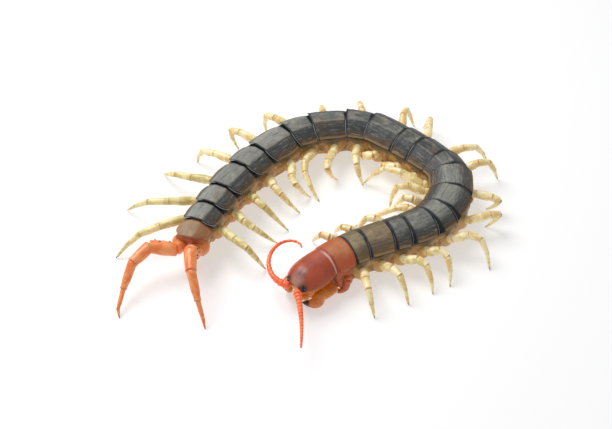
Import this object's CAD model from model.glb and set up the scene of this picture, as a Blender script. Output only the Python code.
"""Giant centipede on a pale floor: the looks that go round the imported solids.

Sizes are in millimetres, as in the part, and MM turns them into metres.
"""

import math

import bmesh
import bpy
from mathutils import Matrix, Vector, noise


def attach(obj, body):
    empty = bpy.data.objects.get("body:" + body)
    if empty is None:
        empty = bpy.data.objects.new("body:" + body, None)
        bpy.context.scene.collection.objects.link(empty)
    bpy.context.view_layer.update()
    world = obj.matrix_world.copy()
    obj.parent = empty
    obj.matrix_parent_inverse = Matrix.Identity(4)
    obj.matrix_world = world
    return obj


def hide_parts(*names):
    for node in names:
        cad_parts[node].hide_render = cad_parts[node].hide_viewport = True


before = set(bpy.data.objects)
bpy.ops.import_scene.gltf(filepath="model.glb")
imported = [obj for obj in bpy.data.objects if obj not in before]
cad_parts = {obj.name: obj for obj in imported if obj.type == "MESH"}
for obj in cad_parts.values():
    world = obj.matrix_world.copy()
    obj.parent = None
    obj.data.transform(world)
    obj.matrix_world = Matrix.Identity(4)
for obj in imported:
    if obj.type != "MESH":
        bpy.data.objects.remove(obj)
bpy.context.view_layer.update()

# Camera, floor and lights. The camera looks down at 45 degrees from in front of the
# animal. A soft light hangs above it at the left and the rear, and the plain white floor
# is a light table that glows a little, so the shadows stay faint.
MM = 0.001
AIM = Vector((-1.9, 2.8, 0))
CAMERA_DISTANCE = 290
CAMERA_TILT = math.radians(45)
SENSOR, LENS = 36, 63.9
PANEL_PLACE = Vector((-150, 110, 300))
PANEL_SIZE, PANEL_WATTS = 250, 1
ROOM_LIGHT, FLOOR_GLOW = 0.42, 0.45
FLOOR_WIDTH = 4  # in metres
camera = bpy.data.objects.new("camera", bpy.data.cameras.new("camera"))
bpy.context.scene.collection.objects.link(camera)
camera.data.sensor_width = SENSOR
camera.data.lens = LENS
camera.data.clip_start = 0.005
camera.rotation_euler = (CAMERA_TILT, 0, 0)
away = Vector((0, -math.sin(CAMERA_TILT), math.cos(CAMERA_TILT)))
camera.location = (AIM + CAMERA_DISTANCE * away) * MM
bpy.context.scene.camera = camera
bpy.context.scene.view_settings.view_transform = "Standard"
panel_lamp = bpy.data.lights.new("key_panel", "AREA")
panel_lamp.shape = "DISK"
panel_lamp.size = PANEL_SIZE * MM
panel_lamp.energy = PANEL_WATTS
key_panel = bpy.data.objects.new("key_panel", panel_lamp)
key_panel.location = PANEL_PLACE * MM
key_panel.rotation_euler = PANEL_PLACE.to_track_quat("Z", "Y").to_euler()
bpy.context.scene.collection.objects.link(key_panel)
world = bpy.data.worlds.new("studio")
bpy.context.scene.world = world
world.use_nodes = True
room = world.node_tree.nodes["Background"]
room.inputs["Color"].default_value = (1, 1, 1, 1)
room.inputs["Strength"].default_value = ROOM_LIGHT


class Wire:
    """A shader value that can be written in sums; each sum adds its Math node."""

    def __init__(self, finish, socket):
        self.finish = finish
        self.socket = socket

    def math(self, operation, *values):
        return self.finish.node("ShaderNodeMath", {"operation": operation}, dict(enumerate(values)))

    def __add__(self, other):
        return self.math("ADD", self, other)

    def __sub__(self, other):
        return self.math("SUBTRACT", self, other)

    def __rsub__(self, other):
        return self.math("SUBTRACT", other, self)

    def __mul__(self, other):
        return self.math("MULTIPLY", self, other)

    def __abs__(self):
        return self.math("ABSOLUTE", self)

    __radd__ = __add__
    __rmul__ = __mul__

    def between(self, low, high):
        """0 below low, 1 above high and a soft rise between them."""
        settings = {"interpolation_type": "SMOOTHSTEP"}
        values = {"Value": self, "From Min": low, "From Max": high}
        return self.finish.node("ShaderNodeMapRange", settings, values)


class Finish:
    """A material being made: node() adds any node, and numbers come as Wires."""

    def __init__(self, name, **shader_values):
        self.material = bpy.data.materials.new(name)
        self.material.use_nodes = True
        self.tree = self.material.node_tree
        self.shader = self.tree.nodes["Principled BSDF"]
        for socket, value in shader_values.items():
            self.shader.inputs[socket.replace("_", " ")].default_value = value

    def node(self, kind, settings, values, output=0):
        node = self.tree.nodes.new(kind)
        for key, value in settings.items():
            setattr(node, key, value)
        for key, value in values.items():
            if isinstance(value, Wire):
                self.tree.links.new(value.socket, node.inputs[key])
            else:
                node.inputs[key].default_value = value
        return Wire(self, node.outputs[output])

    def feed(self, socket, value):
        self.tree.links.new(value.socket, self.shader.inputs[socket])

    def place(self):
        return self.node("ShaderNodeTexCoord", {}, {}, "Object")

    def mark(self, name):
        return self.node("ShaderNodeAttribute", {"attribute_name": name}, {}, "Fac")

    def vector(self, x, y, z):
        return self.node("ShaderNodeCombineXYZ", {}, {"X": x, "Y": y, "Z": z})

    def noise(self, scale, detail=3, rough=0.5, vector=None):
        values = {"Vector": vector or self.place(), "Scale": scale, "Detail": detail, "Roughness": rough}
        return self.node("ShaderNodeTexNoise", {}, values)

    def mix(self, mask, under, over):
        under = under if isinstance(under, Wire) else (*under, 1)
        over = over if isinstance(over, Wire) else (*over, 1)
        return self.node("ShaderNodeMix", {"data_type": "RGBA"}, {0: mask, 6: under, 7: over}, 2)

    def paint(self, mask, colour):
        """Lay a colour over what is there, where the mask is 1."""
        self.colour = self.mix(mask, self.colour, colour)

    def close(self, roughness, relief, strength, depth):
        """Feed the painted colour, the roughness and the relief to the shader."""
        self.feed("Base Color", self.colour)
        self.feed("Roughness", roughness)
        values = {"Height": relief, "Strength": strength, "Distance": depth * MM}
        self.feed("Normal", self.node("ShaderNodeBump", {}, values))
        return self


floor_paint = Finish("floor_paint", Roughness=0.55, Base_Color=(0.6, 0.6, 0.61, 1),
                     Emission_Color=(1, 1, 1, 1), Emission_Strength=FLOOR_GLOW)
bpy.ops.object.select_all(action="DESELECT")
bpy.ops.mesh.primitive_plane_add(size=FLOOR_WIDTH)
floor = bpy.context.object
floor.name = "floor"
floor.data.materials.append(floor_paint.material)

# Course of the body, the same as in the part. It runs from the front of the head to
# the last back plate, and every plate, skin and leg is laid on it.
HEAD_FRONT = (-4.9, -29.1)
HEAD_DIRECTION = 46
HEAD_LENGTH = 10.8
SEGMENT_LENGTHS = [6, 4.6, 7.2, 4.6, 6.6, 5, 7.4, 7.8, 5, 6.8, 5.8,
                   10, 7.2, 10, 7.6, 10.6, 8, 9.4, 7, 6.8, 7]
TURNS = [-12, -6, -6, -3, 6, 17, 19, 26, 32, 15, 5, 3,
         26, 21, 20, 17, 8, 6, 5, 0, 7]
SEGMENTS = len(SEGMENT_LENGTHS)
CORNER = 0.42  # share of the shorter neighbour over which a turn is spread
TRUNK_WIDTH = 11.7  # widest segment, the tenth
FRONT_NARROWING, REAR_NARROWING = 1.2, 3.8
BACK_HEIGHT = 12.3
NECK_DROP = 2.3  # how much lower the head is carried
UP = Vector((0, 0, 1))


def smooth_step(value):
    value = min(1, max(0, value))
    return value * value * (3 - 2 * value)


def polar(angle):
    return Vector((math.cos(math.radians(angle)), math.sin(math.radians(angle)), 0))


class Spine:
    """Centre line of the body: straight lengths with rounded turns between them."""

    def __init__(self):
        self.lengths = [HEAD_LENGTH] + SEGMENT_LENGTHS
        self.headings = [HEAD_DIRECTION]
        for turn in TURNS:
            self.headings.append(self.headings[-1] + turn)
        self.corners = [Vector((*HEAD_FRONT, 0))]
        self.starts = [0]
        for length, heading in zip(self.lengths, self.headings):
            self.corners.append(self.corners[-1] + length * polar(heading))
            self.starts.append(self.starts[-1] + length)

    def frame(self, distance):
        """Point on the centre line and the directions backwards and to the animal's right."""
        piece = 0
        while piece < SEGMENTS and distance > self.starts[piece + 1]:
            piece += 1
        heading = self.headings[piece]
        point = self.corners[piece] + (distance - self.starts[piece]) * polar(heading)
        for joint in (piece, piece + 1):
            if 0 < joint <= SEGMENTS:
                reach = CORNER * min(self.lengths[joint - 1], self.lengths[joint])
                offset = distance - self.starts[joint]
                if abs(offset) < reach:
                    share = (offset + reach) / (2 * reach)
                    before, after = self.headings[joint - 1], self.headings[joint]
                    first = self.corners[joint] - reach * polar(before)
                    last = self.corners[joint] + reach * polar(after)
                    point = ((1 - share) ** 2 * first + 2 * share * (1 - share) * self.corners[joint]
                             + share ** 2 * last)
                    heading = before + (after - before) * share
        back = polar(heading)
        return point, back, Vector((-back.y, back.x, 0))

    def middle(self, number):
        """Distance to the middle of a segment."""
        return self.starts[number] + self.lengths[number] / 2


SPINE = Spine()


def segment_width(number):
    """Width of a back plate by its number, 1 at the front and 21 at the tail."""
    if number < 10:
        return TRUNK_WIDTH - FRONT_NARROWING * ((10 - number) / 9) ** 2
    return TRUNK_WIDTH - REAR_NARROWING * ((number - 10) / 11) ** 3.2


def segment_back(number):
    """Height of the back above the floor, lower towards the head."""
    return BACK_HEIGHT - NECK_DROP * (1 - smooth_step((number + 1) / 9))


def section_scale(number):
    """How deep the body is here, set against the widest segment."""
    return 0.5 + 0.5 * segment_width(number) / TRUNK_WIDTH


def near_tail(number):
    """0 up to the thirteenth segment and 1 from the seventeenth on."""
    return smooth_step((number - 13) / 4)


# Back plates: twenty-one shells of hard skin, one to a segment. Each has a flat top, bends
# down at two long creases, has a thin rim, and its rear margin rides over the next plate.
PLATE_FALL = 0.26  # fall to the side margin, per width
PLATE_CREASE = 0.24  # where the flat top ends, as a share of the half width
PLATE_CURVE = 1.45  # power of the fall from there
PLATE_LIFT = 0.5  # step of the rear margin over the next plate
PLATE_THICKNESS = 0.34
PLATE_OVERLAP = 0.75
PLATE_SET = 0.05  # how far the front margin stands back
PLATE_CORNER, TAIL_CORNER = 0.7, 1.3  # rounding of the rear corners, and what the tail adds
TAIL_BULGE = 0.08  # how much wider a plate is at its middle near the tail
PLATE_DENTS = 0.16  # depth of the uneven dents
PLATE_SINK = 1.4  # how far all of the plate lies lower, in depths of a dent
PLATE_STIFFNESS = 0.45  # share of its own straight axis that a plate keeps in a bend
# How pale the flat top of each plate is, from the first to the last.
PLATE_PALENESS = [0.5, 0.5, 0.4, 0.2, 0.5, 0.9, 0.85, 0.9, 0.4, 0.05, 0.12, 0.25,
                  0.25, 0.45, 0.5, 1, 0.8, 0.7, 1, 1, 0.6]
TAIL_LOBE = 0.74  # where the last plate starts to narrow to its lobe


def write_marks(mesh, **marks):
    """Store lists with a number for each point, which a material can read by name."""
    for name, values in marks.items():
        layer = mesh.attributes.get(name) or mesh.attributes.new(name, "FLOAT", "POINT")
        layer.data.foreach_set("value", values)


def flat_sheet(columns, rows, lifts=()):
    """New flat sheet, 2 wide and 2 long; each lift is a test that selects points, and their rise."""
    bpy.ops.object.select_all(action="DESELECT")
    bpy.ops.mesh.primitive_grid_add(x_subdivisions=columns, y_subdivisions=rows, size=2)
    sheet = bpy.context.object
    bpy.ops.object.mode_set(mode="EDIT")
    for test, rise in lifts:
        bpy.ops.mesh.select_all(action="DESELECT")
        shape = bmesh.from_edit_mesh(sheet.data)
        for point in shape.verts:
            point.select_set(test(point.co))
        shape.select_flush_mode()
        bmesh.update_edit_mesh(sheet.data)
        bpy.ops.transform.translate(value=(0, 0, rise))
    bpy.ops.object.mode_set(mode="OBJECT")
    write_marks(sheet.data, across=[point.co.x for point in sheet.data.vertices],
                along=[(point.co.y + 1) / 2 for point in sheet.data.vertices])
    return sheet


def face_outwards():
    """In edit mode, turn all faces outwards, and leave edit mode."""
    bpy.ops.mesh.select_all(action="SELECT")
    bpy.ops.mesh.normals_make_consistent(inside=False)
    bpy.ops.object.mode_set(mode="OBJECT")


def smooth_out(piece, levels):
    """Round a piece off, and apply this and its other modifiers."""
    smooth = piece.modifiers.new("smooth", "SUBSURF")
    smooth.levels = smooth.render_levels = levels
    bpy.context.view_layer.objects.active = piece
    for modifier in list(piece.modifiers):
        bpy.ops.object.modifier_apply(modifier=modifier.name)


def thicken(sheet, thickness):
    """Give a thin sheet its wall, below its outer face, and round its edges."""
    bpy.context.view_layer.objects.active = sheet
    bpy.ops.object.mode_set(mode="EDIT")
    face_outwards()
    wall = sheet.modifiers.new("wall", "SOLIDIFY")
    wall.thickness = thickness * MM
    wall.offset = -1
    smooth_out(sheet, 1)


def copy_of(model):
    """Copy of a modelled piece, with its own mesh."""
    piece = model.copy()
    piece.data = model.data.copy()
    bpy.context.scene.collection.objects.link(piece)
    return piece


def settle(piece, name, finish, slot, *nodes):
    """Give a finished piece its name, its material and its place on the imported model."""
    piece.name = name
    piece.data.name = name
    piece.data.materials.clear()
    piece.data.materials.append(finish.material)
    piece.data.shade_smooth()
    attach(piece, "root")
    if nodes:
        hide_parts(*nodes)


def model_plate(rim, groove):
    """Flat plate with its relief; heights are millimetres."""
    return flat_sheet(40, 18, [
        (lambda at: abs(at.x) > 0.97, rim),
        (lambda at: 0.87 < abs(at.x) < 0.92, -0.6 * rim),
        (lambda at: PLATE_CREASE + 0.03 < abs(at.x) < PLATE_CREASE + 0.09, -groove),
        (lambda at: at.y < -0.95, -0.3),
        (lambda at: -0.95 < at.y < -0.8, -0.16),
        (lambda at: at.y > 0.95, 0.08),
        (lambda at: 0.7 < at.y < 0.85, -0.06)])


def plate_reach(number, across):
    """Length of a plate, with its overlap; the rear corners are rounded off, most near the tail."""
    overlap = PLATE_OVERLAP if number < SEGMENTS else 0
    corner = PLATE_CORNER + TAIL_CORNER * near_tail(number)
    return SPINE.lengths[number] + overlap - corner * abs(across) ** 5


def plate_place(number, across, along, rise):
    """Where a point of the flat plate comes on the body."""
    distance = SPINE.starts[number] + PLATE_SET + along * plate_reach(number, across)
    middle = SPINE.middle(number)
    point, _, right = SPINE.frame(distance)
    centre, back, straight_right = SPINE.frame(middle)
    point = point.lerp(centre + (distance - middle) * back, PLATE_STIFFNESS)
    right = right.lerp(straight_right, PLATE_STIFFNESS).normalized()
    swell = TAIL_BULGE * near_tail(number) * math.sin(math.pi * min(1, 1.1 * along))
    half = segment_width(number) / 2 * (0.94 + 0.05 * smooth_step(along / 0.35) + 0.04 * along + swell)
    drop = 0
    if number == SEGMENTS and along > TAIL_LOBE:
        lobe = (along - TAIL_LOBE) / (1 - TAIL_LOBE)
        half *= math.sqrt(1 - 0.72 * lobe ** 2.5)
        drop = 0.35 * lobe
    slope = max(0, (abs(across) - PLATE_CREASE) / (1 - PLATE_CREASE)) ** PLATE_CURVE
    rounding = 1 - smooth_step((number - 3) / 5)
    slope += rounding * (abs(across) ** 2.1 - slope)
    height = segment_back(number) + PLATE_LIFT * along + 0.1 * math.sin(math.pi * along)
    height -= PLATE_FALL * 2 * half * slope + drop
    where = point + half * across * right
    dents = (noise.noise(where * 0.45) + 0.5 * noise.noise(where * 1.1)) * (1 - across ** 6)
    return where + (height + rise + PLATE_DENTS * (dents - PLATE_SINK)) * UP


def flat_top_mark(number, across):
    """1 on the flat top of a plate and 0 on its sides; soft in front and wide near the tail."""
    edge, softness = 0.24, 0.12
    if number < 9:
        edge, softness = 0.2, 0.55
    elif number > 14:
        edge, softness = (0.6, 0.2) if across < 0 else (0.3, 0.15)
    return 1 - smooth_step((abs(across) - edge) / softness)


def lay_plate(model, number):
    """Copy of the flat plate, bent onto its segment."""
    plate = copy_of(model)
    mesh = plate.data
    places = [(point.co.x, (point.co.y + 1) / 2, point.co.z) for point in mesh.vertices]
    write_marks(mesh, from_front=[along * plate_reach(number, across) for across, along, _ in places],
                to_rear=[(1 - along) * plate_reach(number, across) for across, along, _ in places],
                flat_top=[flat_top_mark(number, across) for across, _, _ in places],
                segment=[number] * len(places), paleness=[PLATE_PALENESS[number - 1]] * len(places))
    for point, (across, along, rise) in zip(mesh.vertices, places):
        point.co = plate_place(number, across, along, rise) * MM
    thicken(plate, PLATE_THICKNESS)
    return plate


def shell_finish(name, dark, pale, patch, side, brown, margin, rim, black):
    """Dull shell: paler flat top, darker sides, pale rim and black bands at its ends."""
    shell = Finish(name, Coat_Weight=0.06, Coat_Roughness=0.3, Specular_IOR_Level=0.4)
    across = abs(shell.mark("across"))
    from_front = shell.mark("from_front")
    to_rear = shell.mark("to_rear")
    grain = shell.vector(shell.mark("across") * 14, from_front * 0.22, shell.mark("segment") * 3.7)
    streaks = shell.noise(1.6, 6, 0.7, grain)
    clouds = shell.noise(330, 5, 0.65)
    specks = shell.noise(1500, 3, 0.6)
    stains = shell.noise(170, 3, 0.6)
    uneven = 0.5 * (streaks - 0.5) + 0.4 * (clouds - 0.5)
    crease = 1 - abs(across - PLATE_CREASE - 0.02).between(0.015, 0.05)
    shell.colour = shell.mix(shell.mark("paleness"), dark, pale)
    shell.paint((clouds + 0.5 * uneven).between(0.45, 0.7) * 0.7, patch)
    shell.paint((1 - shell.mark("flat_top") + 0.4 * uneven).between(0, 1) * 0.8, side)
    shell.paint(stains.between(0.52, 0.7) * 0.4, brown)
    shell.paint((across + 0.5 * uneven).between(0.62, 0.98), brown)
    shell.paint(crease * streaks.between(0.35, 0.6) * 0.45, patch)
    shell.paint(streaks.between(0.5, 0.64) * 0.6, side)
    shell.paint(streaks.between(0.58, 0.72) * 0.6, black)
    shell.paint((1 - streaks.between(0.32, 0.46)) * 0.7, patch)
    shell.paint(specks.between(0.58, 0.75) * 0.15, patch)
    shell.paint((across + 0.06 * uneven).between(0.9, 0.94) * 0.85, margin)
    shell.paint(across.between(0.955, 0.975) * 0.25, rim)
    shell.paint(1 - (from_front + 0.5 * uneven).between(1, 1.6), black)
    shell.paint(1 - (to_rear + 0.3 * uneven).between(0.3, 0.6), black)
    shine = (1 - to_rear.between(0.04, 0.12)) * across.between(0.3, 0.5)
    shell.paint(shine * 0.9, rim)
    return shell.close(0.4 + 0.25 * clouds, 0.3 * specks + 0.4 * streaks + 0.3 * clouds, 0.8, 0.22)


BLUE_GREY = shell_finish(
    "blue_grey_shell", (0.05, 0.054, 0.054), (0.25, 0.257, 0.232), (0.34, 0.33, 0.27), (0.023, 0.026, 0.031),
    (0.12, 0.068, 0.03), (0.24, 0.14, 0.035), (0.36, 0.39, 0.4), (0.004, 0.005, 0.007))
OLIVE_GREY = shell_finish(
    "olive_grey_shell", (0.15, 0.11, 0.062), (0.29, 0.215, 0.125), (0.36, 0.27, 0.15), (0.09, 0.072, 0.045),
    (0.18, 0.1, 0.035), (0.3, 0.18, 0.05), (0.36, 0.39, 0.38), (0.006, 0.007, 0.009))
TAIL_BROWN = shell_finish(
    "tail_brown_shell", (0.24, 0.17, 0.105), (0.36, 0.24, 0.13), (0.42, 0.29, 0.17), (0.3, 0.14, 0.06),
    (0.42, 0.14, 0.04), (0.5, 0.16, 0.045), (0.52, 0.26, 0.12), (0.26, 0.09, 0.035))
BRICK_RED = shell_finish(
    "brick_red_shell", (0.42, 0.13, 0.045), (0.5, 0.17, 0.06), (0.52, 0.22, 0.08), (0.46, 0.09, 0.028),
    (0.5, 0.085, 0.026), (0.52, 0.11, 0.035), (0.55, 0.25, 0.14), (0.36, 0.06, 0.022))

first_plate = model_plate(0.03, 0)
creased_plate = model_plate(0.1, 0.05)
for number in range(1, SEGMENTS + 1):
    plate = lay_plate(first_plate if number < 3 else creased_plate, number)
    finish = BLUE_GREY
    if number == 1:
        finish = BRICK_RED
    elif number < 4:
        finish = OLIVE_GREY
    elif number == SEGMENTS:
        finish = TAIL_BROWN
    slot = "head_shell" if number == 1 else "back_plate"
    settle(plate, "back_plate_%02d" % number, finish, slot, "trunk_%02d" % ((number + 2) // 3))

# Skin of the flanks and the belly: one soft, leathery tube from the neck to the last
# segment. It swells round the base of each leg, and is folded between them.
SKIN_ROUND = 44  # points round the body
SKIN_STEP = 0.55  # spacing of its rings along the body
SKIN_START, SKIN_END = SPINE.starts[1] + 0.2, SPINE.starts[SEGMENTS + 1] - 1.25
BODY_DEPTH = 8.8  # back to belly on the widest segment
COXA_TOP, COXA_BOTTOM = 5.1, 8.2  # swelling at the leg's root, below the back
ROOT_DEPTH = 6.25  # leg's axis below the back
COXA_REACH = 0.96  # swelling's reach as a share of the half width
SIDE_REACH = 0.88  # flank between two legs
SKIN_FOLDS = 0.16  # depth of the folds


def segment_at(distance):
    """Number of the segment at a distance, and the share of its length up to there."""
    number = 1
    while number < SEGMENTS and distance > SPINE.starts[number + 1]:
        number += 1
    return number, (distance - SPINE.starts[number]) / SPINE.lengths[number]


def body_outline(distance):
    """Half outline of the soft body, from the top of the back to the belly."""
    number, share = segment_at(distance)
    bulge = math.sin(math.pi * min(1, max(0, share))) ** 1.2
    width = segment_width(number)
    half, top, scale = width / 2, segment_back(number), section_scale(number)
    flank = half * (SIDE_REACH + (COXA_REACH - SIDE_REACH) * bulge)
    fall = PLATE_FALL * width
    belly = top - (BODY_DEPTH - 0.1) * scale
    return [(0, top - 0.45), (half * 0.5, top - 0.45 - 0.22 * fall), (half * 0.84, top - 0.5 - 0.68 * fall),
            (half * 0.9, top - 0.65 - fall), (flank - 0.35, top - 1.3 - fall),
            (flank - 0.1, top - COXA_TOP * scale), (flank, top - ROOT_DEPTH * scale),
            (flank + 0.05, top - (COXA_BOTTOM + 0.3) * scale), (half * 0.72, belly), (half * 0.3, belly),
            (0, top - BODY_DEPTH * scale + 0.15)]


def outline_point(outline, share):
    """Point at a share of an outline's run, rounded at its corners."""
    place = share * (len(outline) - 1)
    index = min(len(outline) - 2, int(place))
    part = place - index
    before, first, last, after = (Vector(outline[min(len(outline) - 1, max(0, index + step))])
                                  for step in (-1, 0, 1, 2))
    return 0.5 * (2 * first + (last - before) * part
                  + (2 * before - 5 * first + 4 * last - after) * part ** 2
                  + (3 * first - before - 3 * last + after) * part ** 3)


def skin_point(distance, around):
    """Point of the soft body; around runs from -1 to 1, with 0 on the belly."""
    point, _, right = SPINE.frame(distance)
    across, height = outline_point(body_outline(distance), 1 - abs(around))
    outwards = right if around > 0 else -right
    where = point + across * outwards + height * UP
    folds = noise.noise(Vector((distance * 1.9, around * 5, 0))) + 0.6 * noise.noise(where * 1.7)
    side = smooth_step(6 * (0.75 - abs(around))) * smooth_step(8 * abs(around))
    return where + SKIN_FOLDS * folds * side * outwards


def scale_mark(distance, around):
    """1 on the small hard scale that lies under the margin of each back plate."""
    _, share = segment_at(distance)
    reach = math.hypot((share - 0.55) / 0.3, (abs(around) - 0.545) / 0.05)
    return smooth_step(4 * (1.1 - reach))


def ruddy_mark(distance):
    """1 on the neck and on the end of the body, where the skin is orange-red."""
    neck = smooth_step((SPINE.starts[2] + 1.5 - distance) / 4)
    tail = smooth_step((distance - SPINE.starts[SEGMENTS] - 1.5) / 3)
    return max(neck, tail)


def skin_finish():
    skin = Finish("flank_skin", Subsurface_Weight=0.25, Subsurface_Scale=0.0012, Coat_Weight=0.15)
    side = abs(skin.mark("around"))
    clouds = skin.noise(420, 4, 0.6)
    patches = skin.noise(900, 2)
    skin.colour = skin.mix(clouds.between(0.35, 0.65), (0.32, 0.14, 0.03), (0.6, 0.34, 0.1))
    skin.paint(patches.between(0.55, 0.68) * 0.7, (0.1, 0.04, 0.014))
    skin.paint((1 - patches.between(0.3, 0.42)) * 0.6, (0.66, 0.46, 0.2))
    skin.paint(1 - side.between(0.08, 0.3), (0.5, 0.33, 0.13))
    skin.paint(side.between(0.5, 0.58) * 0.8, (0.16, 0.08, 0.028))
    skin.paint(skin.mark("scale") * 0.9, (0.17, 0.155, 0.1))
    skin.paint(side.between(0.6, 0.72), (0.008, 0.008, 0.01))
    skin.paint(skin.mark("ruddy"), (0.5, 0.12, 0.035))
    return skin.close(0.38 + 0.2 * patches, 0.5 * clouds + 0.5 * skin.noise(2400, 2, 0.6), 0.5, 0.2)


skin = flat_sheet(SKIN_ROUND, int((SKIN_END - SKIN_START) / SKIN_STEP))
flat_places = [(point.co.x, SKIN_START + (point.co.y + 1) / 2 * (SKIN_END - SKIN_START))
               for point in skin.data.vertices]
write_marks(skin.data, around=[around for around, _ in flat_places],
            scale=[scale_mark(distance, around) for around, distance in flat_places],
            ruddy=[ruddy_mark(distance) for _, distance in flat_places])
for point, (around, distance) in zip(skin.data.vertices, flat_places):
    point.co = skin_point(distance, around) * MM
bpy.ops.object.mode_set(mode="EDIT")
bpy.ops.mesh.select_all(action="SELECT")
bpy.ops.mesh.remove_doubles(threshold=0.00001)
bpy.ops.mesh.select_all(action="DESELECT")
bpy.ops.mesh.select_non_manifold()
bpy.ops.mesh.fill()
face_outwards()
settle(skin, "flank_skin", skin_finish(), "amber_shell")

# Belly plates: one flat, pale plate of thin shell under each segment, set in the soft
# skin between the two rows of legs, with two shallow grooves along it.
BELLY_HALF = 0.56  # half width as a share of the body's half width
BELLY_THICKNESS = 0.3


def belly_finish():
    belly = Finish("belly_shell", Subsurface_Weight=0.2, Subsurface_Scale=0.001, Coat_Weight=0.2)
    across = abs(belly.mark("across"))
    along = belly.mark("along")
    clouds = belly.noise(500)
    belly.colour = belly.mix(clouds.between(0.3, 0.7), (0.46, 0.3, 0.11), (0.58, 0.42, 0.18))
    belly.paint(across.between(0.8, 1) * 0.7, (0.3, 0.15, 0.045))
    belly.paint(along.between(0.88, 0.97) * 0.7, (0.26, 0.13, 0.04))
    return belly.close(0.3 + 0.15 * clouds, belly.noise(2200, 2), 0.3, 0.1)


BELLY = belly_finish()
belly_model = flat_sheet(14, 10, [(lambda at: 0.35 < abs(at.x) < 0.5, -0.12),
                                  (lambda at: abs(at.x) > 0.9, -0.2),
                                  (lambda at: abs(at.y) > 0.9, -0.15)])
for number in range(1, SEGMENTS + 1):
    plate = copy_of(belly_model)
    start = SPINE.starts[number]
    end = SKIN_END if number == SEGMENTS else SPINE.starts[number + 1]
    for point in plate.data.vertices:
        across, along, rise = point.co
        middle, _, right = SPINE.frame(start + 0.5 + (along + 1) / 2 * (end - start - 0.7))
        half = BELLY_HALF * segment_width(number) / 2 * (1 - 0.12 * abs(along) ** 3)
        height = segment_back(number) - BODY_DEPTH * section_scale(number) + 0.12 * across ** 2 - rise
        point.co = (middle + half * across * right + height * UP) * MM
    thicken(plate, BELLY_THICKNESS)
    settle(plate, "belly_plate_%02d" % number, BELLY, "amber_shell")

# Walking legs: each is a chain of stiff, half clear tubes that hinge on each other, with
# amber joints and a dark claw. The first link is the broad base set in the flank.
LEG_SIDES = 16
ARTICLE_ENDS = [0.3, 0.55, 0.78, 0.9, 1]
ARCH_SHAPE = [0.75, 1, 0.62, 0.3, 0]
# Each article's radius at its neck, its middle and its end.
ARTICLE_RADII = [(1.1, 1.26, 1.06), (1.02, 1.01, 0.88), (0.84, 0.78, 0.64),
                 (0.58, 0.5, 0.42), (0.39, 0.34, 0.27)]
CLAW_RADIUS, SPUR_RADIUS = 0.27, 0.13
GAP = 0.3  # from the flank to the leg's root
LEG_RING = (0.75, 1)  # run and thickness of the ring at the root
FIRST_RING = (0.5, 0.86)
CLAW_SHARE = 0.58  # part of the last article before its claw
FOOT_RISE = 0.06  # claw's point above the floor
BASE_DROP = 0.8  # how far the base's inner end hangs below the leg's axis
FIRST_BASE = 1.1  # thickness of the first pair's base, set against the others
# Poses from the second pair on: foot outwards and backwards of the root, height of the
# arch, and how far the knees are spread outwards and swept backwards.
LEFT_POSES = [
    (11.3, -3, 4.5, 1, -1), (11.1, 2.4, 4.5, 0.5, 0.4), (9.7, 4.4, 3.5, -0.4, 1.9),
    (9.4, 2.3, 3.6, -0.4, 2.5), (11.3, 3.8, 4.2, 0, 3), (3.8, 5.6, 3.5, 4.9, 2.8),
    (4.3, 0.3, 2.3, 4.8, -1.4), (10.4, -3, 4.5, 1.5, -0.3), (11.8, -6.5, 3.9, 2, -0.7),
    (11.1, 8, 3.6, 3.2, 0.5), (10.1, 1.6, 4.8, 2.1, 2.3), (13.8, 4, 3.2, -0.4, 0.3),
    (13, -0.5, 3.2, -1.2, 0.9), (7.5, 4, 4, 3.4, 1.8), (8, 1.3, 3.8, 5.5, 1.4),
    (13, 1.5, 2.4, 4, 0.2), (18.4, -0.6, 2.6, 1.6, 2.6), (20, 5.6, 4.4, 1, 3.4),
    (13.7, 14.9, 3, 1.6, 1.6),
]
RIGHT_POSES = [
    (7.6, -4.2, 5.2, -1.4, -2), (7.7, -4.8, 4.7, -1.5, -2.2), (4, -7.5, 3.5, 2, 0.5),
    (-6, -3, 0.5, 5.2, -1.8), (11.3, -11, 3, -1, 4), (8.7, 0, 5.5, 0, -2.4),
    (9.7, -0.9, 4.4, 2.8, 1), (10.9, 13.5, 5, 1.2, 1.6), (-5.9, 1, 0.8, 3.7, 3.3),
    (-5.9, 1.6, 0.8, 3.95, 4.1), (-5.9, 0.8, 0.8, 4, 3.4), (8.7, -3.4, 4.2, 3.2, 0.6),
    (6.9, 0.2, 3.1, 4.6, 3.3), (12.9, 4.6, 2.5, -1.6, 2.5), (9.1, 1.3, 3.2, 2, 4.3),
    (10.9, 0.7, 3.3, 0.3, 2.5), (12.2, 1, 4.2, -0.7, 2), (12.1, -0.4, 3, 0, 2.4),
    (13.7, 2.1, 4.6, 2, 2.6),
]
# The first pair is small and folded under the neck: knees and foot, backwards from the
# middle of the first segment, outwards of the centre line, and above the floor.
FIRST_LEG = [(-0.9, 6.2, 2.2), (-2.1, 5.5, 1.25), (-2.5, 4.1, 0.95), (-1.9, 3.2, 0.8), (-1.2, 2.6, 0)]
FIRST_LEG_RADII = [(0.85, 0.95, 0.82), (0.72, 0.72, 0.62), (0.58, 0.55, 0.5),
                   (0.46, 0.42, 0.36), (0.34, 0.31, 0.27)]
SIDE_NAMES = {-1: "left", 1: "right"}
link_models = []  # taken away again at the end


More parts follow.
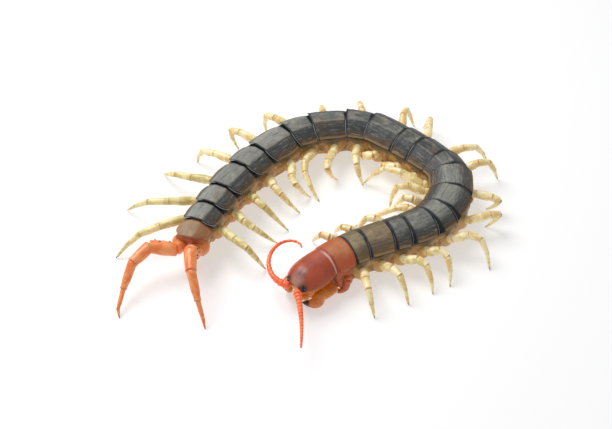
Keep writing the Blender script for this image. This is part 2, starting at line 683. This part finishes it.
def turned(profile, sides=LEG_SIDES):
    """Closed round shape along +Z: a disc extruded and resized from ring to ring."""
    height, radius = profile[0]
    bpy.ops.object.select_all(action="DESELECT")
    bpy.ops.mesh.primitive_circle_add(vertices=sides, radius=radius, fill_type="NGON",
                                      location=(0, 0, height))
    piece = bpy.context.object
    bpy.ops.object.transform_apply(location=True)
    bpy.ops.object.mode_set(mode="EDIT")
    bpy.ops.mesh.select_all(action="SELECT")
    for next_height, next_radius in profile[1:]:
        rise = next_height - height
        growth = next_radius / radius
        bpy.ops.mesh.extrude_region_move(TRANSFORM_OT_translate={"value": (0, 0, rise)})
        bpy.ops.transform.resize(value=(growth, growth, 1), center_override=(0, 0, next_height))
        height, radius = next_height, next_radius
    face_outwards()
    return piece


def model_link(profile, joint=0, dark=0, sides=LEG_SIDES):
    """Turned link, marked for how near a joint and how dark it is, by numbers or from its height."""
    piece = turned(profile, sides)
    link_models.append(piece)
    for name, mark in (("joint", joint), ("dark", dark)):
        values = [mark(point.co.z) if callable(mark) else mark for point in piece.data.vertices]
        write_marks(piece.data, **{name: values})
    return piece


def model_article(narrow, wide, end):
    """One link of a leg, 1 long: a short neck, a swollen middle and a rounded rim."""
    return model_link([(-0.05, narrow * 0.7), (-0.02, narrow * 0.92), (0.03, narrow), (0.1, narrow * 1.01),
                       (0.26, (narrow + wide) / 2), (0.45, wide), (0.68, (2 * wide + end) / 3),
                       (0.86, end), (0.94, end * 0.98), (0.97, end * 1.03), (0.99, end * 1.01),
                       (1.01, end * 0.9), (1.03, end * 0.6)],
                      lambda height: max(1 - height / 0.06, (height - 0.94) / 0.06, 0))


def model_claw(radius):
    """Dark claw, 1 long, slightly hooked."""
    piece = model_link([(-0.06, radius * 0.7), (0, radius), (0.2, radius * 0.9), (0.45, radius * 0.7),
                        (0.7, radius * 0.45), (0.9, radius * 0.24), (0.98, radius * 0.1)],
                       1, lambda height: smooth_step(1.2 * height), 10)
    for point in piece.data.vertices:
        point.co.y += 0.35 * radius * math.sin(math.pi * min(1, max(0, point.co.z)))
    return piece


def link_place(start, end, thickness=1):
    """Matrix that sets a link, 1 long on +Z, from start to end."""
    run = end - start
    along = run.normalized()
    side = along.cross(UP)
    if side.length < 0.01:
        side = Vector((1, 0, 0))
    side.normalize()
    up = side.cross(along)
    turn = Matrix((side, up, along)).transposed().to_4x4()
    stretch = Matrix.Diagonal((thickness * MM, thickness * MM, run.length * MM, 1))
    return Matrix.Translation(start * MM) @ turn @ stretch


def chain(links):
    """Copies of modelled links, each set at its place, joined into one piece."""
    copies = []
    for model, place in links:
        copies.append(copy_of(model))
        copies[-1].data.transform(place)
    bpy.ops.object.select_all(action="DESELECT")
    for link in copies:
        link.select_set(True)
    bpy.context.view_layer.objects.active = copies[0]
    bpy.ops.object.join()
    return copies[0]


def leg_line(number, side, pose):
    """Root, knees and foot of a walking leg."""
    outwards, backwards, arch, spread, sweep = pose
    point, back, right = SPINE.frame(SPINE.middle(number))
    away = right * side
    root = point + away * (segment_width(number) / 2 * COXA_REACH + GAP)
    height = segment_back(number) - ROOT_DEPTH * section_scale(number)
    run = outwards * away + backwards * back
    knee = spread * away + sweep * back
    points = [root + height * UP]
    for share, shape in zip(ARTICLE_ENDS, ARCH_SHAPE):
        place = root + run * share + knee * math.sin(math.pi * share)
        points.append(place + (height * (1 - share) + arch * shape) * UP)
    return points, away


def leg_finish(name, pale, rich, joint, base, claw, glow):
    """Half clear shell, lit through: pale in the middle of each link, rich at the joints."""
    shell = Finish(name, Subsurface_Weight=0.35, Subsurface_Scale=0.0015, Coat_Weight=0.25,
                   Coat_Roughness=0.15, Emission_Strength=glow)
    near_joint = shell.mark("joint")
    clouds = shell.noise(380, 3, 0.55)
    fine = shell.noise(1500, 2)
    shell.colour = shell.mix((clouds + 0.3 * (fine - 0.5)).between(0.4, 0.6), pale, rich)
    shell.paint((near_joint + 0.4 * (fine - 0.5)).between(0.3, 0.95) * 0.5, joint)
    shell.paint(near_joint.between(1.5, 1.9) * (1 - 0.4 * fine), base)
    shell.paint(shell.mark("dark"), claw)
    shell.feed("Emission Color", shell.colour)
    return shell.close(0.3 + 0.18 * fine, fine, 0.3, 0.08)


LEG_YELLOW = leg_finish("leg_yellow", (0.86, 0.76, 0.46), (0.7, 0.53, 0.22), (0.52, 0.3, 0.08),
                        (0.46, 0.24, 0.06), (0.13, 0.06, 0.02), 0.16)
LEG_OLIVE = leg_finish("leg_olive", (0.79, 0.7, 0.37), (0.58, 0.47, 0.17), (0.44, 0.3, 0.07),
                       (0.6, 0.2, 0.05), (0.1, 0.04, 0.015), 0.12)
LEG_RED = leg_finish("leg_red", (0.62, 0.17, 0.05), (0.5, 0.11, 0.035), (0.4, 0.07, 0.025),
                     (0.5, 0.11, 0.035), (0.03, 0.012, 0.01), 0.05)
base_model = model_link([(-0.5, 1.5), (-0.15, 2.1), (0.2, 2.3), (0.5, 2.2), (0.75, 1.8), (0.92, 1.35),
                         (1, 1)], 2)
ring_model = model_link([(-0.1, 0.8), (0, 1.04), (0.3, 1.1), (0.7, 1.08), (1, 1.02), (1.08, 0.7)], 0.5)
article_models = [model_article(*radii) for radii in ARTICLE_RADII]
first_models = [model_article(*radii) for radii in FIRST_LEG_RADII]
claw_model = model_claw(CLAW_RADIUS)
spur_model = model_claw(SPUR_RADIUS)


def knee_points(point, back, away, places):
    """Points given backwards and outwards of a point, and above the floor."""
    return [point + backwards * back + outwards * away + level * UP
            for backwards, outwards, level in places]


def leg_links(line, away, articles, ring):
    """Links of a leg from its line of knees."""
    run, thickness = ring
    before = line[0] + run * away + 0.05 * (line[1] - line[0])
    links = [(ring_model, link_place(line[0] - 0.25 * away, before, thickness))]
    for article, knee in zip(articles, line[1:]):
        end = knee
        if article == articles[-1]:
            end = before + (knee - before) * CLAW_SHARE
            links.append((claw_model, link_place(end, knee + FOOT_RISE * UP)))
        links.append((article, link_place(before, end)))
        before = knee
    return links


def base_link(line, away, thickness=1):
    """The broad base of a leg, which hangs a little towards its inner end."""
    drop = BASE_DROP * UP
    return base_model, link_place(line[0] - 1.2 * away - drop, line[0] + 0.1 * away - 0.3 * drop, thickness)


for side, poses in ((-1, LEFT_POSES), (1, RIGHT_POSES)):
    point, back, right = SPINE.frame(SPINE.middle(1))
    line, away = leg_line(1, side, (0, 0, 0, 0, 0))
    line = line[:1] + knee_points(point, back, away, FIRST_LEG)
    links = leg_links(line, away, first_models, FIRST_RING) + [base_link(line, away, FIRST_BASE)]
    name = "leg_%s_01" % SIDE_NAMES[side]
    settle(chain(links), "walking_" + name, LEG_RED, "leg_skin", name)
    for number, pose in enumerate(poses, 2):
        line, away = leg_line(number, side, pose)
        links = leg_links(line, away, article_models, LEG_RING) + [base_link(line, away)]
        spur_root = line[4] + (line[3] - line[4]).normalized() * 0.2 - 0.3 * UP
        spur_tip = spur_root + (line[5] - line[4]).normalized() * 0.5 - 0.25 * UP
        links.append((spur_model, link_place(spur_root, spur_tip)))
        name = "leg_%s_%02d" % (SIDE_NAMES[side], number)
        finish = LEG_YELLOW if number < 18 else LEG_OLIVE
        settle(chain(links), "walking_" + name, finish, "leg_skin", name)

# Last legs: the long, thick pair that trails behind, of orange shell. The first link
# carries short dark spines, and the feet end in claws.
TAIL_OVERHANG = 1.15  # how far the last plate reaches past the body's end
LAST_LEG_ROOT = (GAP, 2.3, 7.6)  # backwards, outwards and up, as for its knees and foot
LAST_LEGS = {
    -1: [(4.1, 8.9, 8.8), (9.5, 11.2, 7.7), (15.2, 11.5, 4), (19.8, 11.1, 1.7), (21.3, 10.2, 0)],
    1: [(4.2, 2.2, 10.8), (9.7, 4.6, 10.2), (14.5, 8, 5.8), (16.7, 10, 2), (18, 10.9, 0)]}
LAST_RING = (1.6, 1.5)
LAST_LEG_RADII = [(1.7, 1.9, 1.7), (1.6, 1.6, 1.4), (1.2, 1.15, 0.88),
                  (0.64, 0.6, 0.48), (0.44, 0.38, 0.27)]
LAST_LOBE_DROP = 0.4 * UP
# Spines of the first link: place along it, and turn about it in degrees.
PREFEMUR_SPINES = [(0.25, 60), (0.45, 20), (0.62, 75), (0.8, 40), (0.35, -30), (0.7, -15)]
SPINE_FOOT = 1.6  # from the link's axis
SPINE_RISE, SPINE_LEAN = 0.55, 0.4  # from its foot to its tip, outwards and along the link
SPINE_THICKNESS = 0.8

CORAL = leg_finish("coral_shell", (0.82, 0.33, 0.12), (0.76, 0.2, 0.05), (0.66, 0.13, 0.03),
                   (0.68, 0.22, 0.05), (0.1, 0.025, 0.01), 0.12)
last_models = [model_article(*radii) for radii in LAST_LEG_RADII]
spine_model = model_link([(-0.2, 0.3), (0, 0.42), (0.3, 0.3), (0.65, 0.17), (1, 0.06)],
                         1, lambda height: smooth_step(height * 1.4), 8)
for side in (-1, 1):
    point, back, right = SPINE.frame(SPINE.starts[SEGMENTS + 1] - TAIL_OVERHANG)
    away = right * side
    line = knee_points(point, back, away, [LAST_LEG_ROOT] + LAST_LEGS[side])
    links = leg_links(line, back, last_models, LAST_RING)
    lobe = line[0] + 0.5 * away
    links.append((base_model, link_place(lobe - 1.8 * back - LAST_LOBE_DROP, lobe + 0.7 * back, 0.95)))
    start = line[0] + LAST_RING[0] * back + 0.05 * (line[1] - line[0])
    axis = (line[1] - start).normalized()
    sideways = axis.cross(UP).normalized() * -side
    upwards = (UP - axis * axis.z).normalized()
    for place, turn in PREFEMUR_SPINES:
        out = math.sin(math.radians(turn)) * upwards + math.cos(math.radians(turn)) * sideways
        foot = start + (line[1] - start) * place + out * SPINE_FOOT
        tip = foot + out * SPINE_RISE + axis * SPINE_LEAN
        links.append((spine_model, link_place(foot, tip, SPINE_THICKNESS)))
    name = "last_leg_" + SIDE_NAMES[side]
    settle(chain(links), "trailing_" + name, CORAL, "orange_shell", name)

# Head: a flat shield of red shell with a rounded front, over a deeper body that holds
# the mouthparts. The feelers are set at its front margin and the eyes at its corners.
HEAD_HALF_WIDTH = 5.3
HEAD_WIDEST = 6.5  # from the front
HEAD_ROUND = 7.3  # half length of the oval that rounds the front
HEAD_REAR_NARROWING = 0.5
HEAD_TOP = 10.6
HEAD_FLATNESS = 2.8  # power of the fall from the crown to the side margin
HEAD_FRONT_DROP = 2.6
HEAD_FRONT_FALL = 4.6  # how far from the front that drop begins
HEAD_EDGE = 7
HEAD_BOTTOM = 4.3
HEAD_OVERLAP = 0.35  # reach and step of its rear margin over the first plate
SHIELD_THICKNESS = 0.4


def head_half_width(distance):
    if distance < HEAD_WIDEST:
        return HEAD_HALF_WIDTH * math.sqrt(1 - ((HEAD_WIDEST - distance) / HEAD_ROUND) ** 2)
    rear = (distance - HEAD_WIDEST) / (HEAD_LENGTH - HEAD_WIDEST)
    return HEAD_HALF_WIDTH - HEAD_REAR_NARROWING * rear ** 2


def head_point(distance, across, height):
    """Point given from the head's front, from its middle to the right, and above the floor."""
    point, _, right = SPINE.frame(distance)
    return point + across * right + height * UP


def head_surface(distance, share):
    """Top of the head; share runs from -1 to 1 across it."""
    fall = max(0, 1 - distance / HEAD_FRONT_FALL) ** 2
    top = HEAD_TOP - HEAD_FRONT_DROP * fall
    edge = HEAD_EDGE - 0.3 * fall
    height = edge + (top - edge) * (1 - abs(share) ** HEAD_FLATNESS)
    return head_point(distance, head_half_width(distance) * share, height)


def head_finish():
    shell = Finish("head_shell", Coat_Weight=0.12, Coat_Roughness=0.25, Subsurface_Weight=0.1,
                   Subsurface_Scale=0.001)
    across = abs(shell.mark("across"))
    along = shell.mark("along")
    clouds = shell.noise(300)
    fine = shell.noise(2200, 2)
    shell.colour = shell.mix(clouds.between(0.35, 0.7), (0.47, 0.078, 0.026), (0.34, 0.052, 0.02))
    shell.paint((1 - along.between(0, 0.3)) * 0.6, (0.16, 0.03, 0.016))
    blotch = (1 - along.between(0.3, 0.5)) * along.between(0.15, 0.3) * (1 - across.between(0.1, 0.4))
    shell.paint(blotch * 0.8, (0.085, 0.02, 0.014))
    dusty = (1 - along.between(0.12, 0.36)) * (1 - across.between(0.2, 0.7)) * clouds.between(0.3, 0.6)
    shell.paint(dusty * 0.85, (0.44, 0.25, 0.19))
    shell.paint(across.between(0.8, 0.98) * 0.5, (0.48, 0.13, 0.04))
    shell.paint(shell.mark("near_eye"), (0.016, 0.01, 0.01))
    left_rear = along.between(0.94, 0.96) * (0.5 - 0.5 * shell.mark("across")).between(0.25, 0.6)
    shell.paint(left_rear * 0.9, (0.72, 0.42, 0.36))
    return shell.close(0.32 + 0.15 * clouds, 0.6 * fine + 0.4 * clouds, 0.4, 0.12)


EYE_PLACE = (0.95, 2.35, 7.65)  # from the front, outwards and up
EYE_PATCH = 0.62  # unit of the dark patch's radius


def near_eye(where, side):
    """1 on the dark patch round the eyes of one side."""
    distance, across, height = EYE_PLACE
    return smooth_step(2 - (where - head_point(distance, side * across, height)).length / EYE_PATCH)


HEAD_RED = head_finish()
shield = flat_sheet(28, 26, [(lambda at: abs(at.x) > 0.96, 0.05),
                             (lambda at: abs(at.x) < 0.03 and at.y < 0.2, -0.05)])
for point in shield.data.vertices:
    across, along, rise = point.co
    share = (along + 1) / 2
    where = head_surface(share ** 1.25 * (HEAD_LENGTH + HEAD_OVERLAP), across)
    point.co = (where + (HEAD_OVERLAP * share ** 6 + rise + 0.02) * UP) * MM
write_marks(shield.data, near_eye=[max(near_eye(point.co / MM, side) for side in (-1, 1))
                                   for point in shield.data.vertices])
thicken(shield, SHIELD_THICKNESS)
settle(shield, "head_shield", HEAD_RED, "head_shell", "head")


def loft(rings):
    """Closed, rounded shape through rings of points, made from a tube of as many rings."""
    sides = len(rings[0])
    piece = turned([(level, 1) for level in range(len(rings))], sides)
    for point in piece.data.vertices:
        turn = round(math.atan2(point.co.y, point.co.x) / (2 * math.pi) * sides) % sides
        point.co = rings[round(point.co.z)][turn] * MM
    bpy.ops.object.mode_set(mode="EDIT")
    face_outwards()
    smooth_out(piece, 2)
    return piece


def head_ring(distance, outline):
    """Closed ring across the head from its right half, given from the top to the bottom."""
    mirrored = [(-across, height) for across, height in reversed(outline[1:-1])]
    return [head_point(distance, across, height) for across, height in outline + mirrored]


def head_body_ring(distance):
    half = head_half_width(distance) * 0.97
    bottom = HEAD_BOTTOM + 1.6 * max(0, 1 - distance / 2.5)
    return head_ring(distance, [
        (0, HEAD_EDGE + 1.2), (half * 0.6, HEAD_EDGE + 0.7), (half * 0.95, HEAD_EDGE - 0.35),
        (half * 0.93, HEAD_EDGE - 0.9), (half * 0.86, (HEAD_EDGE + bottom) / 2),
        (half * 0.72, bottom + 0.35), (half * 0.45, bottom + 0.05), (0, bottom)])


def amber_finish():
    shell = Finish("amber_shell", Coat_Weight=0.35, Coat_Roughness=0.12, Subsurface_Weight=0.15,
                   Subsurface_Scale=0.001, Emission_Strength=0.12)
    clouds = shell.noise(420)
    fine = shell.noise(2200, 2)
    shell.colour = shell.mix(clouds.between(0.3, 0.7), (0.68, 0.24, 0.035), (0.5, 0.13, 0.02))
    shell.paint(shell.mark("joint") * 0.6, (0.26, 0.06, 0.02))
    shell.paint(shell.mark("dark"), (0.008, 0.006, 0.006))
    shell.feed("Emission Color", shell.colour)
    return shell.close(0.2 + 0.15 * fine, fine, 0.2, 0.06)


AMBER = amber_finish()
HEAD_STATIONS = (0.25, 0.8, 1.6, 2.8, 4.2, 6, 8, 9.6, 10.6)
settle(loft([head_body_ring(distance) for distance in HEAD_STATIONS]), "head_body", AMBER, "amber_shell")

# Eyes: four round black lenses at each front corner of the head, set close together in
# two rows.
EYE_LENSES = [(-0.52, 0.24), (0.46, 0.28), (-0.46, -0.32), (0.48, -0.28)]  # sideways and up
EYE_RADIUS = 0.36
EYE_TURN = 140  # from straight backwards to where the eyes look, in degrees


def eye_finish():
    black = Finish("eye_black", Coat_Weight=0.8, Coat_Roughness=0.03)
    clouds = black.noise(1800, 2)
    black.feed("Base Color", black.mix(clouds, (0.006, 0.005, 0.006), (0.02, 0.012, 0.012)))
    black.feed("Roughness", 0.08 + 0.1 * clouds)
    return black


EYE_BLACK = eye_finish()
lens_model = model_link([(-0.6, 0.8), (-0.2, 1), (0.1, 0.98), (0.4, 0.86), (0.65, 0.68), (0.85, 0.4),
                         (0.93, 0.15)], sides=14)
for side in (-1, 1):
    distance, across, height = EYE_PLACE
    centre = head_point(distance, side * across, height)
    outwards = (polar(HEAD_DIRECTION + side * EYE_TURN) * 0.75 + 0.65 * UP).normalized()
    sideways = outwards.cross(UP).normalized()
    upwards = sideways.cross(outwards)
    links = []
    for step, rise in EYE_LENSES:
        foot = centre + step * sideways + rise * upwards + outwards * 0.12
        links.append((lens_model, link_place(foot, foot + outwards * EYE_RADIUS, EYE_RADIUS)))
    settle(chain(links), "ocelli_" + SIDE_NAMES[side], EYE_BLACK, "black_shell", "eye_" + SIDE_NAMES[side])

# Feelers: strings of short beads of orange-red shell that thin out to the tip. The left
# one is held forwards and down, and the right one curls back over the head.
ANTENNA_ARTICLES = 18
ANTENNA_ROOT = (-0.3, 1.35, 6.9)  # from the head's front, outwards and up
ANTENNA_WAIST = 0.42  # share of the length where the curve changes
# First heading in degrees, turns in degrees per millimetre at the root, waist and tip,
# rise at the middle, and height of the tip.
ANTENNAE = {-1: dict(length=17.9, heading=-77.5, turns=(-1.6, -0.85, -0.2), rise=-0.3, tip=7.7),
            1: dict(length=24.1, heading=166, turns=(-11.6, -5.7, -28.5), rise=0, tip=6.9)}
ANTENNA_RADIUS, ANTENNA_TIP_RADIUS = 0.86, 0.27
ROOT_SWELL = 0.25  # how much thicker the first bead is


def antenna_line(side):
    """Ends of the beads, from the head to the tip."""
    form = ANTENNAE[side]
    distance, across, height = ANTENNA_ROOT
    here = head_point(distance, side * across, 0)
    heading = form["heading"]
    fine = 4
    step = form["length"] / ANTENNA_ARTICLES / fine
    line = []
    for number in range(ANTENNA_ARTICLES * fine + 1):
        share = number / (ANTENNA_ARTICLES * fine)
        level = height + (form["tip"] - height) * share ** 2 + form["rise"] * math.sin(math.pi * share)
        if number % fine == 0:
            line.append(here + level * UP)
        here = here + step * polar(heading)
        root_turn, waist_turn, tip_turn = form["turns"]
        change, reach = root_turn - waist_turn, ANTENNA_WAIST
        if share >= ANTENNA_WAIST:
            change, reach = tip_turn - waist_turn, 1 - ANTENNA_WAIST
        heading += (waist_turn + change * ((share - ANTENNA_WAIST) / reach) ** 2) * step
    return line


FEELER_RED = leg_finish("feeler_red", (0.97, 0.2, 0.065), (0.86, 0.14, 0.045), (0.66, 0.09, 0.028),
                        (0.66, 0.09, 0.028), (0.05, 0.02, 0.01), 0.12)
bead_model = model_link([(-0.12, 0.6), (-0.04, 0.84), (0.1, 0.92), (0.4, 0.99), (0.7, 1.04), (0.88, 1.04),
                         (0.97, 0.96), (1.02, 0.75)], lambda height: max(0, 1 - height / 0.3), sides=14)
tip_model = model_link([(-0.12, 0.5), (-0.04, 0.8), (0.15, 0.95), (0.5, 1), (0.8, 0.8), (0.95, 0.5),
                        (1, 0.2)], 0.3, sides=14)
for side in (-1, 1):
    line = antenna_line(side)
    links = []
    for index, (start, end) in enumerate(zip(line, line[1:])):
        share = (index + 0.5) / ANTENNA_ARTICLES
        radius = ANTENNA_RADIUS + (ANTENNA_TIP_RADIUS - ANTENNA_RADIUS) * share ** 0.8
        radius *= 1 + ROOT_SWELL * max(0, 1 - index / 3)
        model = tip_model if index == ANTENNA_ARTICLES - 1 else bead_model
        links.append((model, link_place(start, end, radius)))
    name = SIDE_NAMES[side]
    settle(chain(links), "feeler_" + name, FEELER_RED, "orange_shell", "antenna_" + name)

# Poison claws: a broad plate under the head carries two thick curved claws of amber
# shell, which end in black points, with a row of small teeth between them.
BASE_STATIONS = [(4.9, 5.5), (5, 5.6), (5.6, 5.8), (6.8, 6), (8.6, 6.1), (9.8, 6.05), (10.5, 5.8)]
BASE_BOTTOM, BASE_TOP = 1.5, 4
# Line of a poison claw: from the head's front, outwards of the middle, and height.
POISON_CLAW = [(5.3, 4.1, 2.9), (4.1, 4.4, 2.9), (3.3, 4.6, 2.85), (2.5, 4.5, 2.85),
               (1.8, 4, 2.8), (1.2, 3.2, 2.75), (0.7, 2.3, 2.7)]
CLAW_RADII = [1.55, 1.68, 1.72, 1.47, 1.08, 0.66, 0.2]
CLAW_RINGS = 30
CLAW_BLACK = 0.66  # where the black point starts
TEETH = 4
TOOTH_PLACE = (4.95, 0.45, 3)  # the innermost, from the front, outwards and up
TOOTH_STEP = (0.55, 0.05)  # from one to the next, outwards and up
TOOTH_LENGTH, TOOTH_RADIUS = 0.55, 0.24


def base_ring(distance, half):
    middle = (BASE_BOTTOM + BASE_TOP) / 2
    return head_ring(distance, [
        (0, BASE_TOP), (half * 0.6, BASE_TOP), (half * 0.9, BASE_TOP - 0.2), (half, middle + 0.3),
        (half, middle - 0.3), (half * 0.86, BASE_BOTTOM + 0.15), (half * 0.5, BASE_BOTTOM),
        (0.25, BASE_BOTTOM), (0, BASE_BOTTOM + 0.15)])


claw_plate = loft([base_ring(distance, half) for distance, half in BASE_STATIONS])
settle(claw_plate, "claw_plate", AMBER, "amber_shell", "claw_base")

claw_sizes = [(radius, 0) for radius in CLAW_RADII]
claw_shares = [ring / CLAW_RINGS for ring in range(CLAW_RINGS + 1)]
fang_model = model_link([(share, outline_point(claw_sizes, share)[0]) for share in claw_shares],
                        0, lambda height: smooth_step((height - CLAW_BLACK) / 0.12), 20)
tooth_model = model_link([(-0.5, 1), (0, 1), (0.5, 0.8), (1, 0.35)], 0, 0.85, 8)


def bend_fang(mesh, line):
    """Lay the straight claw on a rounded line of points."""
    for point in mesh.vertices:
        share = point.co.z
        centre = outline_point(line, share)
        along = outline_point(line, min(1, share + 0.01)) - outline_point(line, max(0, share - 0.01))
        side = along.cross(UP).normalized()
        up = side.cross(along).normalized()
        point.co = (centre + point.co.x * side + point.co.y * up) * MM


for side in (-1, 1):
    line = [head_point(distance, side * across, height) for distance, across, height in POISON_CLAW]
    fang = copy_of(fang_model)
    bend_fang(fang.data, line)
    links = [(fang, Matrix.Identity(4))]
    distance, across, height = TOOTH_PLACE
    for tooth in range(TEETH):
        foot = head_point(distance, side * (across + TOOTH_STEP[0] * tooth), height + TOOTH_STEP[1] * tooth)
        tip = foot - TOOTH_LENGTH * polar(HEAD_DIRECTION)
        links.append((tooth_model, link_place(foot, tip, TOOTH_RADIUS)))
    name = SIDE_NAMES[side]
    settle(chain(links), "fang_" + name, AMBER, "amber_shell", "poison_claw_" + name)
    bpy.data.objects.remove(fang)

# Palps: two stubby mouth feelers under the front of the head, between the poison claws.
# Each is a short chain of three amber links that bends inwards to its tip.
PALP_LINE = ((3.6, 2.6, 5), (1.7, 2.75, 4.6), (0.6, 2.2, 4.3), (0.15, 1.2, 4.4))
PALP_RADII = (1.15, 1, 0.75)
palp_model = model_link([(-0.2, 0.8), (0.1, 1), (0.4, 1.05), (0.7, 0.95), (0.9, 0.7), (1, 0.35)])
links = []
for side in (-1, 1):
    line = [head_point(distance, side * across, height) for distance, across, height in PALP_LINE]
    for start, end, radius in zip(line, line[1:], PALP_RADII):
        links.append((palp_model, link_place(start, end, radius)))
settle(chain(links), "palps", AMBER, "amber_shell")

# What is left: the models that the pieces were copied from are taken away, and the sizes
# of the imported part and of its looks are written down.
for model in link_models + [first_plate, creased_plate, belly_model]:
    bpy.data.objects.remove(model)
